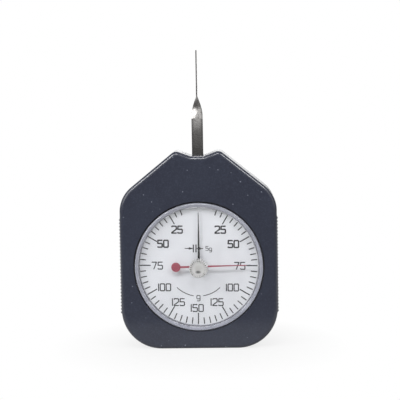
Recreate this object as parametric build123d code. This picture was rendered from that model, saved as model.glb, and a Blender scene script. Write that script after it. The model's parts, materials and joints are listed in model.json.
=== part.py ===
from build123d import *
import os
from math import acos, asin, cos, pi, radians, sin, tan

# Dial force gauge: a flat ribbed case with a 50 mm dial, and a feeler lever that leaves
# the case through a slot in the scooped top. Millimetres.
# +Z is up along the feeler, the dial faces -Y, X runs across the dial.
# The origin is the middle of the footprint on the surface the case stands on.
# Depths named D_... are measured backwards from the front face of the case.

# ---- gear pair between lever and pointer
MODULE = 0.3
PINION_TEETH = 12
SECTOR_FULL_TEETH = 180    # teeth that a full wheel of the sector's radius would have
SECTOR_TEETH = 16          # teeth actually cut
PRESSURE = radians(20)
GEAR_SHIFT = 0.35          # profile shift, plus on the pinion and minus on the sector
BACKLASH = 0.05            # taken off each tooth at the pitch circle
TIP_GAP = 0.25             # tip to root, in modules

# ---- crystal and dial
DIAL_OPEN_R = 25.9
SEAL_T = 0.6
SEAL_SUNK = 0.9            # seal below the front face, so the crystal stands in a groove
CRYSTAL_WALL = 1.3
CRYSTAL_T = 1.6
CRYSTAL_PROUD = 0.8
CRYSTAL_EDGE_R = 0.7
CRYSTAL_CORNER_R = 0.9     # rounding between the pane and its wall, inside
FLANGE_LEDGE = 1.6
FLANGE_T = 1.2
DIAL_T = 0.5
DIAL_HOLE_GAP = 0.4
DIAL_FOOT_R = 0.8
DIAL_FOOT_X = 18.0

# ---- case shells
WALL = 2.0
FRONT_WALL = 2.2
BACK_WALL = 2.0
TOP_WALL = 2.2
SIDE_GAP = 1.5             # crystal flange to side wall
BOTTOM_GAP = 3.3           # crystal flange to bottom wall
BOTTOM_R = 15.8
SHOULDER_R = 12.5
SLOPE = radians(39)        # upper flanks, from the horizontal
HORN_X = 8.75              # virtual corner of the horn beside the scoop
HORN_R = 3.0
SCOOP_HALF = 2.6
SCOOP_SLOPE = radians(20)
SCOOP_R = 4.0
SCOOP_RISE = 14.9          # scoop floor above the lever pivot
EDGE_R = 1.6
CAVITY_TOP_R = 2.0
LIP_T = 1.2
LIP_L = 1.6
LIP_GAP = 0.05
TONGUE_L = 3.7             # tongue of the rear cover that closes the back of the slot
RIB_PITCH = 1.32
RIB_H = 0.42
RIB_ROOT = 0.1             # rib flanks start this far under the surface
RIB_OVERRUN = 1.8          # ribs run on below the straight side
RIB_STOP = 2.0             # ribs end this far under the shoulder
RIB_END = 0.3              # ribs end this far from the edge rounding

# ---- lever and feeler
SWING = radians(12)        # full scale to either side
STOP_SWING = radians(12.5)
STRIP_W = 4.5
STRIP_T = 0.45
TWIST_ABOVE = 29.5         # the flat shank ends and the quarter twist starts, above the pivot
TWIST_L = 9.0
BLADE_L = 17.9             # edge-on blade above the twist
BLADE_TIP_W = 3.0
LAP_LOW = 3.7              # lower end of the lap above the pivot
LAP_L = 8.2
SLOT_GAP = 0.2
SLOT_DEPTH_GAP = 0.8
ARM_T = 1.5
ARM_HUB_R = 4.2
ARM_END_R = 2.0
STAFF_R = 1.5
STAFF_JOURNAL_R = 0.8
DRIVE_ARM = 22.0           # drive pin below the pivot
DRIVE_PIN_R = 1.0
SECTOR_T = 1.2
SECTOR_HUB_R = 3.0
SECTOR_RIM = 2.2
SECTOR_SPINE_W = 3.4
WINDOW_FROM_HUB = 9.0
WINDOW_TO_RIM = 1.0
WINDOW_SLANT = 1.5
RIVET_FROM_HUB = 3.0
RIVET_APART = 8.0
RIVET_R = 0.7
RIVET_HEAD_R = 1.25
RIVET_HEAD_T = 0.4

# ---- plates, pillars, bushes
FRONT_PLATE_T = 1.2
REAR_PLATE_T = 1.2
PILLAR_L = 9.1
PILLAR_R = 2.0
PILLAR_TENON_R = 1.2
PILLAR_X = 10.5
PILLAR_LOW = 18.0          # lower pillars below the dial centre
PILLAR_HIGH = 3.2          # upper pillars above the pivot
PLATE_EDGE = 3.0
EAR_OUT = 4.6              # lower ears of the front plate outside the crystal flange
EAR_ANGLE = radians(38.7)
TOP_EAR_X = 9.0
TOP_EAR_DROP = 4.0
NOTCH_GAP = 0.4            # front plate round the case bosses
BUSH_WALL = 0.8
BUSH_FLANGE = 0.8
BUSH_FLANGE_T = 0.4
RUN_FIT = 0.03             # radial clearance of every journal
END_SHAKE = 0.1
BACK_GAP = 1.6             # rear plate screws to the back wall

# ---- springs of the lever
LEAF_T = 0.3
LEAF_W = 2.9
LEAF_GAP = 0.3             # arm to leaves, along the depth
LEAF_TIP = 2.0             # leaves run on past the zero stop
PIN_GAP = 0.05             # drive pin to each leaf at rest
STOP_ABOVE_PIN = 3.2
BLOCK_FOOT_W = 9.2
BLOCK_FOOT_H = 3.4
BLOCK_STEM_H = 6.6
BLOCK_BELOW = 20.0         # foot of the spring block below the dial centre
CLAMP_T = 1.2
TRAVEL_STOP_R = 1.2
TRAVEL_STOP_ARM = 14.0
STOP_SHORT = 0.3

# ---- pinion arbor, hairspring, hands
PINION_L = 3.2
PINION_AHEAD = 1.0         # pinion runs on ahead of the sector
ARBOR_FRONT_R = 0.6
ARBOR_BODY_R = 0.9
ARBOR_SLIM_R = 0.6
ARBOR_REAR_R = 0.4
COLLET_R = 2.0
COLLET_L = 1.0
PINION_GAP = 0.3
HAIR_T = 0.2
HAIR_W = 0.8
HAIR_PITCH = 0.8
HAIR_HALF_TURNS = 11
STUD_R = 0.8
STUD_TENON_R = 0.6
HAND_GAP = 0.3
HAND_T = 0.2
PEAK_HAND_L = 20.4
PEAK_HAND_W = 0.75
PEAK_TAIL = 9.1
PEAK_TAIL_R = 1.85
PEAK_ANGLE = 89.0          # red hand as it was left, clockwise from the top
PEAK_HUB_R = 2.0
PEAK_BUSH_R = 1.8
PEAK_NECK_R = 1.5
PEAK_BUSH_L = 0.8
PEAK_FLANGE_T = 0.3
HAND_L = 21.4
HAND_W = 1.0
HAND_TIP_W = 0.25
HAND_HUB_R = 2.9
BOSS_R = 1.3
BOSS_NECK_R = 1.0
BOSS_L = 1.1
BOSS_NECK_L = 0.4
DRAG_PIN_R = 0.3
DRAG_PIN_AT = 2.45

# ---- reset knob in the crystal
KNOB_R = 3.6
KNOB_L = 5.2
KNOB_GAP = 0.2
KNOB_FLUTES = 26
FLUTE_R = 0.27
KNOB_CHAMFER = 0.3
SPINDLE_R = 1.25
SPINDLE_FIT = 0.05
WASHER_T = 0.15
WASHER_R = 2.2
WASHER_GAP = 0.05

# ---- screws
CASE_SCREW_R = 1.0
CASE_HEAD_R = 1.9
CASE_HEAD_T = 1.5
CASE_SCREW_L = 10.8
CASE_HEAD_SUNK = 0.7
BOSS_WALL = 1.6
BOSS_CLEAR = 0.37
LOW_BOSS_ANGLE = radians(65)
TOP_BOSS_X = 17.5
SCREW_R = 0.7
SCREW_HEAD_R = 1.7
SCREW_HEAD_T = 1.0
SCREW_BITE = 3.0
EAR_BITE = 2.4
SMALL_SCREW_R = 0.5
SMALL_HEAD_R = 1.0
SMALL_HEAD_T = 0.7
SMALL_BITE = 1.8
SCREW_SLOT = 0.35
FIT = 0.1                  # radial clearance of a screw in a plain hole

# ---- where the parts lie, worked out from the sizes above
PINION_PR = MODULE * PINION_TEETH / 2
SECTOR_PR = MODULE * SECTOR_FULL_TEETH / 2
CRYSTAL_R = DIAL_OPEN_R - SEAL_T
FLANGE_R = DIAL_OPEN_R + FLANGE_LEDGE
HALF_W = FLANGE_R + SIDE_GAP + WALL
DIAL_Z = WALL + BOTTOM_GAP + FLANGE_R
PIVOT_Z = DIAL_Z + PINION_PR + SECTOR_PR
FLOOR_Z = PIVOT_Z + SCOOP_RISE
HORN_Z = FLOOR_Z + (HORN_X - SCOOP_HALF) * tan(SCOOP_SLOPE)
SHOULDER_Z = HORN_Z - (HALF_W - HORN_X) * tan(SLOPE)
TWIST_Z = PIVOT_Z + TWIST_ABOVE
BLADE_Z = TWIST_Z + TWIST_L
TIP_Z = BLADE_Z + BLADE_L

D_PANE = CRYSTAL_T - CRYSTAL_PROUD
D_WASHER = D_PANE + WASHER_GAP
D_PEAK_BUSH = D_WASHER + WASHER_T
D_PEAK_HAND = D_PEAK_BUSH + PEAK_FLANGE_T
D_BOSS = D_PEAK_BUSH + PEAK_BUSH_L + HAND_GAP
D_HAND = D_BOSS + BOSS_NECK_L - HAND_T
D_DIAL = FRONT_WALL + FLANGE_T
D_PLATE = D_DIAL + DIAL_T
D_PLATE_BACK = D_PLATE + FRONT_PLATE_T
D_COLLET = D_PLATE_BACK + BUSH_FLANGE_T + END_SHAKE
D_PINION = D_COLLET + COLLET_L + PINION_GAP
D_SECTOR = D_PINION + PINION_AHEAD
D_ARM = D_SECTOR + SECTOR_T
D_ARM_BACK = D_ARM + ARM_T
D_STRIP = D_ARM - STRIP_T
D_LEAF = D_ARM_BACK + LEAF_GAP
D_LEAF_BACK = D_LEAF + LEAF_W
D_REAR = D_PLATE_BACK + PILLAR_L
D_REAR_BACK = D_REAR + REAR_PLATE_T
CASE_D = D_REAR_BACK + SCREW_HEAD_T + BACK_GAP + BACK_WALL
D_SLOT = D_STRIP - SLOT_DEPTH_GAP
D_SLOT_BACK = D_ARM + SLOT_DEPTH_GAP
D_SPLIT = D_SLOT_BACK + TONGUE_L
D_KNOB = -CRYSTAL_PROUD - KNOB_GAP
Y_FACE = -(CASE_D + D_KNOB - KNOB_L) / 2

SLOT_HALF = (HORN_Z - PIVOT_Z) * tan(SWING) + STRIP_W / 2 / cos(SWING) + SLOT_GAP
BOSS_OUT_R = CASE_SCREW_R + BOSS_WALL
BOSS_INSET = WALL + LIP_GAP + LIP_T + BOSS_CLEAR + BOSS_OUT_R
LOW_BOSS = (HALF_W - BOTTOM_R + (BOTTOM_R - BOSS_INSET) * cos(LOW_BOSS_ANGLE),
            BOTTOM_R - (BOTTOM_R - BOSS_INSET) * sin(LOW_BOSS_ANGLE))
TOP_BOSS = (TOP_BOSS_X,
            SHOULDER_Z + (HALF_W - TOP_BOSS_X) * tan(SLOPE) - BOSS_INSET / cos(SLOPE))
LOW_EAR = ((FLANGE_R + EAR_OUT) * cos(EAR_ANGLE),
           DIAL_Z - (FLANGE_R + EAR_OUT) * sin(EAR_ANGLE))
TOP_EAR = (TOP_EAR_X, FLOOR_Z - TOP_WALL - TOP_EAR_DROP)
PILLARS_AT = ((PILLAR_X, DIAL_Z - PILLAR_LOW), (PILLAR_X, PIVOT_Z + PILLAR_HIGH))
BLOCK_HALF = DRIVE_PIN_R + PIN_GAP
PIN_Z = PIVOT_Z - DRIVE_ARM
ZERO_Z = PIN_Z + STOP_ABOVE_PIN
BLOCK_Z = DIAL_Z - BLOCK_BELOW
STEM_Z = BLOCK_Z + BLOCK_FOOT_H
ARM_LEAN = asin((ARM_HUB_R - ARM_END_R) / DRIVE_ARM)
STOP_ANGLE = asin((ARM_HUB_R + TRAVEL_STOP_R) / TRAVEL_STOP_ARM) - ARM_LEAN + STOP_SWING


# ---- drawing helpers
def slab(sketch, d_front, d_back):
    """Extrude a sketch, drawn as seen from the front (x right, y up), between two depths."""
    plane = Plane(origin=(0, Y_FACE + d_back, 0), x_dir=(1, 0, 0), z_dir=(0, -1, 0))
    return extrude(plane * sketch, d_back - d_front, dir=(0, -1, 0))


def turned(points, x=0.0, z=DIAL_Z):
    """Turn a closed profile of (radius, depth) points about an axis that runs front to back."""
    profile = make_face(Polyline([(r, Y_FACE + d) for r, d in points], close=True))
    return Pos(x, 0, z) * revolve(profile, Axis.Y)


def rod(x, z, r, d_front, d_back):
    return slab(Pos(x, z) * Circle(r), d_front, d_back)


def cross_rod(x0, x1, z, d, r):
    """Round rod along X between x0 and x1."""
    plane = Plane(origin=(x0, Y_FACE + d, z), x_dir=(0, 1, 0), z_dir=(1, 0, 0))
    return extrude(plane * Circle(r), x1 - x0, dir=(1, 0, 0))


def block(x0, x1, z0, z1, d_front, d_back):
    return slab(Pos((x0 + x1) / 2, (z0 + z1) / 2) * Rectangle(x1 - x0, z1 - z0), d_front, d_back)


def both_sides(points):
    """Each (x, z) place and its mirror image."""
    return [(side * x, z) for x, z in points for side in (-1, 1)]


def group(solids):
    return Compound(children=list(solids))


def outline(right_half):
    """Symmetric closed outline; right_half lists (x, z, corner radius) from bottom to top."""
    left_half = [(-x, z, r) for x, z, r in reversed(right_half)]
    corners = right_half + left_half
    path = FilletPolyline(*[(x, z) for x, z, r in corners],
                          radius=[r for x, z, r in corners], close=True)
    return make_face(path)


def screw_back(x, z, seat, shank_r, head_r, head_t, length):
    """Slotted cheese-head screw driven in from behind; the head sits on depth seat."""
    body = turned([(0, seat - length), (shank_r, seat - length), (shank_r, seat),
                   (head_r, seat), (head_r, seat + head_t), (0, seat + head_t)], x, z)
    slot = block(x - SCREW_SLOT / 2, x + SCREW_SLOT / 2, z - head_r, z + head_r,
                 seat + head_t - SCREW_SLOT, seat + head_t)
    return body - slot


def screw_front(x, z, seat, shank_r, head_r, head_t, length):
    """The same screw driven in from the front."""
    body = turned([(0, seat + length), (shank_r, seat + length), (shank_r, seat),
                   (head_r, seat), (head_r, seat - head_t), (0, seat - head_t)], x, z)
    slot = block(x - SCREW_SLOT / 2, x + SCREW_SLOT / 2, z - head_r, z + head_r,
                 seat - head_t, seat - head_t + SCREW_SLOT)
    return body - slot


# ---- case shells
def case_outline():
    return outline([
        (HALF_W, 0, BOTTOM_R),
        (HALF_W, SHOULDER_Z, SHOULDER_R),
        (HORN_X, HORN_Z, HORN_R),
        (SCOOP_HALF, FLOOR_Z, SCOOP_R),
    ])


def inner_outline(inset, top_z):
    """Case outline moved in by inset, closed by a plain top under the scoop."""
    slope_z = SHOULDER_Z - inset / cos(SLOPE)
    top_x = HALF_W - (top_z - slope_z) / tan(SLOPE)
    side = HALF_W - inset
    return outline([
        (side, inset, BOTTOM_R - inset),
        (side, slope_z + inset * tan(SLOPE), SHOULDER_R - inset),
        (top_x, top_z, CAVITY_TOP_R),
    ])


def rib_combs(d_front, d_back):
    """Grip ribs along both sides: one saw-toothed comb per side."""
    low = BOTTOM_R - RIB_OVERRUN
    high = SHOULDER_Z - SHOULDER_R * tan((pi / 2 - SLOPE) / 2) - RIB_STOP
    count = int((high - low) / RIB_PITCH)
    teeth = [(HALF_W - WALL / 2, low)]
    for i in range(count):
        teeth.append((HALF_W - RIB_ROOT, low + i * RIB_PITCH))
        teeth.append((HALF_W + RIB_H, low + (i + 0.5) * RIB_PITCH))
    teeth.append((HALF_W - RIB_ROOT, low + count * RIB_PITCH))
    teeth.append((HALF_W - WALL / 2, low + count * RIB_PITCH))
    right = slab(make_face(Polyline(teeth, close=True)), d_front, d_back)
    return [right, mirror(right, about=Plane.YZ)]


CAVITY_TOP = FLOOR_Z - TOP_WALL


def make_front_case():
    shell = slab(case_outline(), 0, D_SPLIT)
    shell = fillet(shell.faces().sort_by(Axis.Y)[0].edges(), EDGE_R)
    shell += rib_combs(EDGE_R + RIB_END, D_SPLIT)
    shell -= slab(inner_outline(WALL, CAVITY_TOP), FRONT_WALL, D_SPLIT)
    shell -= rod(0, DIAL_Z, DIAL_OPEN_R, 0, FRONT_WALL)
    for x, z in both_sides([LOW_BOSS, TOP_BOSS]):
        shell += rod(x, z, BOSS_OUT_R, FRONT_WALL, D_SPLIT)
        shell -= rod(x, z, CASE_SCREW_R, screw_seat() - CASE_SCREW_L - 0.5, D_SPLIT)
    for x, z in both_sides([LOW_EAR, TOP_EAR]):
        shell += rod(x, z, SCREW_R + BOSS_WALL, FRONT_WALL, D_PLATE)
        shell -= rod(x, z, SCREW_R, D_PLATE - EAR_BITE, D_PLATE)
    shell -= block(-SLOT_HALF, SLOT_HALF, CAVITY_TOP - 1, HORN_Z, D_SLOT, D_SPLIT)
    return shell


def screw_seat():
    """Depth of the counterbore floor under a case screw's head."""
    return CASE_D - CASE_HEAD_SUNK - CASE_HEAD_T


def make_rear_cover():
    shell = slab(case_outline(), D_SPLIT, CASE_D)
    shell = fillet(shell.faces().sort_by(Axis.Y)[-1].edges(), EDGE_R)
    shell += rib_combs(D_SPLIT, CASE_D - EDGE_R - RIB_END)
    shell -= slab(inner_outline(WALL, CAVITY_TOP), D_SPLIT, CASE_D - BACK_WALL)
    lip_inset = WALL + LIP_GAP
    lip = slab(inner_outline(lip_inset, CAVITY_TOP - LIP_GAP), D_SPLIT - LIP_L, D_SPLIT + LIP_T)
    lip -= slab(inner_outline(lip_inset + LIP_T, CAVITY_TOP - LIP_GAP - LIP_T),
                D_SPLIT - LIP_L, D_SPLIT + LIP_T)
    skirt = slab(inner_outline(WALL, CAVITY_TOP), D_SPLIT, D_SPLIT + LIP_T)
    skirt -= slab(inner_outline(lip_inset, CAVITY_TOP - LIP_GAP), D_SPLIT, D_SPLIT + LIP_T)
    shell += [lip, skirt]
    tongue = slab(case_outline(), D_SLOT_BACK, D_SPLIT)
    tongue &= block(LIP_GAP - SLOT_HALF, SLOT_HALF - LIP_GAP, CAVITY_TOP, HORN_Z,
                    D_SLOT_BACK, D_SPLIT)
    shell += tongue
    for x, z in both_sides([LOW_BOSS, TOP_BOSS]):
        shell += rod(x, z, CASE_HEAD_R + BOSS_WALL - 2 * FIT, D_SPLIT, CASE_D - BACK_WALL)
        shell -= rod(x, z, CASE_SCREW_R + FIT, D_SPLIT, CASE_D)
        shell -= rod(x, z, CASE_HEAD_R + 2 * FIT, screw_seat(), CASE_D)
    return shell


# ---- crystal, seal and dial
def widest_circle(part, level):
    """Largest circular edge on the given level, counted from the front."""
    circles = part.edges().filter_by(GeomType.CIRCLE)
    return circles.group_by(Axis.Y)[level].sort_by(SortBy.LENGTH)[-1]


def make_crystal():
    bore = SPINDLE_R + SPINDLE_FIT
    pane = turned([
        (bore, -CRYSTAL_PROUD), (CRYSTAL_R, -CRYSTAL_PROUD), (CRYSTAL_R, FRONT_WALL),
        (FLANGE_R, FRONT_WALL), (FLANGE_R, D_DIAL), (CRYSTAL_R - CRYSTAL_WALL, D_DIAL),
        (CRYSTAL_R - CRYSTAL_WALL, D_PANE), (bore, D_PANE),
    ])
    pane = fillet(widest_circle(pane, 1), CRYSTAL_CORNER_R)
    return fillet(widest_circle(pane, 0), CRYSTAL_EDGE_R)


def make_crystal_seal():
    ring = rod(0, DIAL_Z, DIAL_OPEN_R, SEAL_SUNK, FRONT_WALL)
    return ring - rod(0, DIAL_Z, CRYSTAL_R, SEAL_SUNK, FRONT_WALL)


def make_dial_plate():
    plate = rod(0, DIAL_Z, FLANGE_R, D_DIAL, D_PLATE)
    plate -= rod(0, DIAL_Z, BOSS_R + DIAL_HOLE_GAP, D_DIAL, D_PLATE)
    for x, z in both_sides([(DIAL_FOOT_X, DIAL_Z)]):
        plate += rod(x, z, DIAL_FOOT_R, D_PLATE, D_PLATE_BACK)
    return plate


# ---- movement frame
def plate_blank(corners, d_front, d_back):
    """Plate with a rounded corner about each of the given places."""
    rounds = [Pos(x, z) * Circle(PLATE_EDGE) for x, z in both_sides(corners)]
    return slab(make_hull([e for r in rounds for e in r.edges()]), d_front, d_back)


def bush_out(journal_r):
    return journal_r + RUN_FIT + BUSH_WALL


def make_front_plate():
    plate = plate_blank([LOW_EAR, TOP_EAR], D_PLATE, D_PLATE_BACK)
    plate -= rod(0, DIAL_Z, bush_out(ARBOR_FRONT_R), D_PLATE, D_PLATE_BACK)
    plate -= rod(0, PIVOT_Z, bush_out(STAFF_JOURNAL_R), D_PLATE, D_PLATE_BACK)
    for x, z in both_sides([LOW_BOSS, TOP_BOSS]):
        plate -= rod(x, z, BOSS_OUT_R + NOTCH_GAP, D_PLATE, D_PLATE_BACK)
    for x, z in both_sides([LOW_EAR, TOP_EAR]):
        plate -= rod(x, z, SCREW_R + FIT, D_PLATE, D_PLATE_BACK)
    for x, z in both_sides(PILLARS_AT):
        plate -= rod(x, z, PILLAR_TENON_R, D_PLATE, D_PLATE_BACK)
    for x, z in both_sides([(DIAL_FOOT_X, DIAL_Z)]):
        plate -= rod(x, z, DIAL_FOOT_R, D_PLATE, D_PLATE_BACK)
    plate -= rod(stud_x(), DIAL_Z, STUD_TENON_R, D_PLATE, D_PLATE_BACK)
    return plate


def make_rear_plate():
    plate = plate_blank(PILLARS_AT, D_REAR, D_REAR_BACK)
    plate -= rod(0, DIAL_Z, bush_out(ARBOR_REAR_R), D_REAR, D_REAR_BACK)
    plate -= rod(0, PIVOT_Z, bush_out(STAFF_JOURNAL_R), D_REAR, D_REAR_BACK)
    for x, z in both_sides(PILLARS_AT):
        plate -= rod(x, z, SCREW_R + FIT, D_REAR, D_REAR_BACK)
    for x, z in block_screw_places():
        plate -= rod(x, z, SMALL_SCREW_R + FIT, D_REAR, D_REAR_BACK)
    plate -= rod(0, ZERO_Z, BLOCK_HALF, D_REAR, D_REAR_BACK)
    for x, z in travel_stop_places():
        plate -= rod(x, z, TRAVEL_STOP_R, D_REAR, D_REAR_BACK)
    return plate


def make_plate_pillars():
    pillars = []
    for x, z in both_sides(PILLARS_AT):
        pillar = rod(x, z, PILLAR_R, D_PLATE_BACK, D_REAR)
        pillar += rod(x, z, PILLAR_TENON_R, D_PLATE, D_PLATE_BACK)
        pillar -= rod(x, z, SCREW_R, D_REAR - SCREW_BITE - 0.5, D_REAR)
        pillars.append(pillar)
    return group(pillars)


def make_plate_screws():
    length = SCREW_BITE + REAR_PLATE_T
    return group(screw_back(x, z, D_REAR_BACK, SCREW_R, SCREW_HEAD_R, SCREW_HEAD_T, length)
                 for x, z in both_sides(PILLARS_AT))


def make_movement_screws():
    length = EAR_BITE - 0.3 + FRONT_PLATE_T
    return group(screw_back(x, z, D_PLATE_BACK, SCREW_R, SCREW_HEAD_R, SCREW_HEAD_T, length)
                 for x, z in both_sides([LOW_EAR, TOP_EAR]))


def make_case_screws():
    return group(screw_back(x, z, screw_seat(), CASE_SCREW_R, CASE_HEAD_R, CASE_HEAD_T,
                            CASE_SCREW_L)
                 for x, z in both_sides([LOW_BOSS, TOP_BOSS]))


def bush(z, journal_r, d_plate, d_plate_back):
    """Flanged bearing bush pressed into a plate from behind."""
    bore = journal_r + RUN_FIT
    out = bush_out(journal_r)
    return turned([
        (bore, d_plate), (out, d_plate), (out, d_plate_back),
        (out + BUSH_FLANGE, d_plate_back), (out + BUSH_FLANGE, d_plate_back + BUSH_FLANGE_T),
        (bore, d_plate_back + BUSH_FLANGE_T),
    ], 0, z)


# ---- springs and stops
def block_screw_places():
    inset = (BLOCK_FOOT_W / 2 + BLOCK_HALF) / 2
    return both_sides([(inset, BLOCK_Z + BLOCK_FOOT_H / 2)])


def spring_screw_heights():
    return [STEM_Z + 0.5 + (BLOCK_STEM_H - 0.5) * k for k in (0.25, 0.75)]


def spring_screw_hole():
    reach = BLOCK_HALF + LEAF_T + CLAMP_T
    middle = D_LEAF + LEAF_W / 2
    return [cross_rod(-reach, reach, z, middle, SMALL_SCREW_R) for z in spring_screw_heights()]


def make_spring_block():
    foot = block(-BLOCK_FOOT_W / 2, BLOCK_FOOT_W / 2, BLOCK_Z, STEM_Z, D_LEAF, D_REAR)
    stem = block(-BLOCK_HALF, BLOCK_HALF, STEM_Z, STEM_Z + BLOCK_STEM_H, D_LEAF, D_REAR)
    body = foot + stem - spring_screw_hole()
    for x, z in block_screw_places():
        body -= rod(x, z, SMALL_SCREW_R, D_REAR - SMALL_BITE - 0.3, D_REAR)
    return body


def make_block_screws():
    return group(screw_back(x, z, D_REAR_BACK, SMALL_SCREW_R, SMALL_HEAD_R, SMALL_HEAD_T,
                            SMALL_BITE + REAR_PLATE_T)
                 for x, z in block_screw_places())


def make_leaf_spring(side):
    leaf = block(BLOCK_HALF, BLOCK_HALF + LEAF_T, STEM_Z + 0.3, ZERO_Z + LEAF_TIP,
                 D_LEAF, D_LEAF_BACK)
    if side < 0:
        leaf = mirror(leaf, about=Plane.YZ)
    return leaf - spring_screw_hole()


def make_spring_clamps():
    clamp = block(BLOCK_HALF + LEAF_T, BLOCK_HALF + LEAF_T + CLAMP_T, STEM_Z + 0.3,
                  STEM_Z + BLOCK_STEM_H, D_LEAF, D_LEAF_BACK)
    pair = [clamp, mirror(clamp, about=Plane.YZ)]
    return group(c - spring_screw_hole() for c in pair)


def make_spring_screws():
    reach = BLOCK_HALF + LEAF_T + CLAMP_T
    middle = D_LEAF + LEAF_W / 2
    screws = []
    for z in spring_screw_heights():
        shank = cross_rod(-reach, reach, z, middle, SMALL_SCREW_R)
        head = cross_rod(-reach - SMALL_HEAD_T, -reach, z, middle, SMALL_HEAD_R)
        screws.append(shank + head)
    return group(screws)


def make_zero_stop():
    return rod(0, ZERO_Z, BLOCK_HALF, D_LEAF, D_REAR_BACK)


def travel_stop_places():
    return both_sides([(TRAVEL_STOP_ARM * sin(STOP_ANGLE),
                        PIVOT_Z - TRAVEL_STOP_ARM * cos(STOP_ANGLE))])


def make_travel_stops():
    return group(rod(x, z, TRAVEL_STOP_R, D_ARM + STOP_SHORT, D_REAR_BACK)
                 for x, z in travel_stop_places())


# ---- lever with sector gear and feeler
def lower_arm(hub_r, end_r, reach):
    """Outline of an arm that narrows from a hub to a rounded end below it."""
    ends = [Circle(hub_r).edges(), (Pos(0, -reach) * Circle(end_r)).edges()]
    return make_hull([e for group_ in ends for e in group_])


def rivet_places():
    first = PIVOT_Z - SECTOR_HUB_R - RIVET_FROM_HUB
    return [(0, first), (0, first - RIVET_APART)]


def lap_screw_places():
    return [(0, PIVOT_Z + LAP_LOW + LAP_L * k) for k in (0.26, 0.74)]


def make_lever_arm():
    low = Pos(0, PIVOT_Z) * lower_arm(ARM_HUB_R, ARM_END_R, DRIVE_ARM)
    tongue = Pos(0, PIVOT_Z + (LAP_LOW + LAP_L) / 2) * Rectangle(STRIP_W, LAP_LOW + LAP_L)
    arm = slab(low + tongue, D_ARM, D_ARM_BACK)
    arm -= rod(0, PIVOT_Z, STAFF_R, D_ARM, D_ARM_BACK)
    arm -= rod(0, PIN_Z, DRIVE_PIN_R, D_ARM, D_ARM_BACK)
    for x, z in rivet_places():
        arm -= rod(x, z, RIVET_R, D_ARM, D_ARM_BACK)
    for x, z in lap_screw_places():
        arm -= rod(x, z, SMALL_SCREW_R, D_ARM, D_ARM_BACK)
    return arm


def inv(angle):
    return tan(angle) - angle


def tooth_points(pitch_r, tip_r, root_r, thickness):
    """Half angle of an involute tooth at its root, base, middle and tip radius."""
    base_r = pitch_r * cos(PRESSURE)
    start_r = max(base_r, root_r)
    at_pitch = thickness / 2 / pitch_r
    marks = []
    for r in (start_r, (start_r + tip_r) / 2, tip_r):
        marks.append((r, at_pitch + inv(PRESSURE) - inv(acos(min(1.0, base_r / r)))))
    return marks


def tooth_run(pitch_r, shift, centres):
    """Edges of a run of teeth about the origin; centres are angles clockwise from the top."""
    tip_r = pitch_r + MODULE * (1 + shift)
    root_r = pitch_r - MODULE * (1 + TIP_GAP - shift)
    thickness = MODULE * (pi / 2 + 2 * shift * tan(PRESSURE)) - BACKLASH
    marks = tooth_points(pitch_r, tip_r, root_r, thickness)

    def at(r, a):
        return (r * sin(a), r * cos(a))

    edges = []
    end = None
    for c in centres:
        first = at(root_r, c - marks[0][1])
        if end is not None:
            middle = (end_angle + c - marks[0][1]) / 2
            edges.append(ThreePointArc(end, at(root_r, middle), first))
        rising = [at(r, c - a) for r, a in marks]
        falling = [at(r, c + a) for r, a in reversed(marks)]
        if marks[0][0] > root_r + 0.001:
            edges.append(Line(first, rising[0]))
        else:
            rising[0] = first
        edges.append(ThreePointArc(*rising))
        edges.append(ThreePointArc(rising[2], at(tip_r, c), falling[0]))
        end_angle = c + marks[0][1]
        end = at(root_r, end_angle)
        if marks[0][0] <= root_r + 0.001:
            falling[2] = end
        edges.append(ThreePointArc(*falling))
        if marks[0][0] > root_r + 0.001:
            edges.append(Line(falling[2], end))
    return edges, root_r, end, end_angle


def make_sector_gear():
    step = 2 * pi / SECTOR_FULL_TEETH
    centres = [(i - (SECTOR_TEETH - 1) / 2) * step for i in range(SECTOR_TEETH)]
    edges, root_r, end, end_angle = tooth_run(SECTOR_PR, -GEAR_SHIFT, centres)
    start = (-end[0], end[1])
    rim_in = root_r - SECTOR_RIM
    corner = (rim_in * sin(end_angle + step / 2), rim_in * cos(end_angle + step / 2))
    hub = (SECTOR_HUB_R * cos(end_angle), SECTOR_HUB_R * sin(end_angle))
    edges.append(Polyline([end, corner, hub, (-hub[0], hub[1]), (-corner[0], corner[1]), start]))
    fan = make_face(edges) + Circle(SECTOR_HUB_R)
    spoke = SECTOR_SPINE_W / 2
    wide = (rim_in - spoke) * tan(end_angle) - spoke
    for side in (-1, 1):
        window = make_face(Polyline([
            (side * spoke, SECTOR_HUB_R + WINDOW_FROM_HUB),
            (side * spoke, rim_in - WINDOW_TO_RIM),
            (side * wide, rim_in - WINDOW_TO_RIM - WINDOW_SLANT)], close=True))
        fan -= window
    fan = Pos(0, PIVOT_Z) * Rot(0, 0, 180) * fan
    gear = slab(fan, D_SECTOR, D_ARM)
    gear -= rod(0, PIVOT_Z, STAFF_R, D_SECTOR, D_ARM)
    for x, z in rivet_places():
        gear -= rod(x, z, RIVET_R, D_SECTOR, D_ARM)
    return gear


def make_sector_rivets():
    rivets = []
    for x, z in rivet_places():
        rivet = rod(x, z, RIVET_R, D_SECTOR, D_ARM_BACK - RIVET_HEAD_T)
        rivet += rod(x, z, RIVET_HEAD_R, D_SECTOR - RIVET_HEAD_T, D_SECTOR)
        rivet += rod(x, z, RIVET_R, D_ARM_BACK - RIVET_HEAD_T, D_ARM_BACK)
        rivets.append(rivet)
    return group(rivets)


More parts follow.
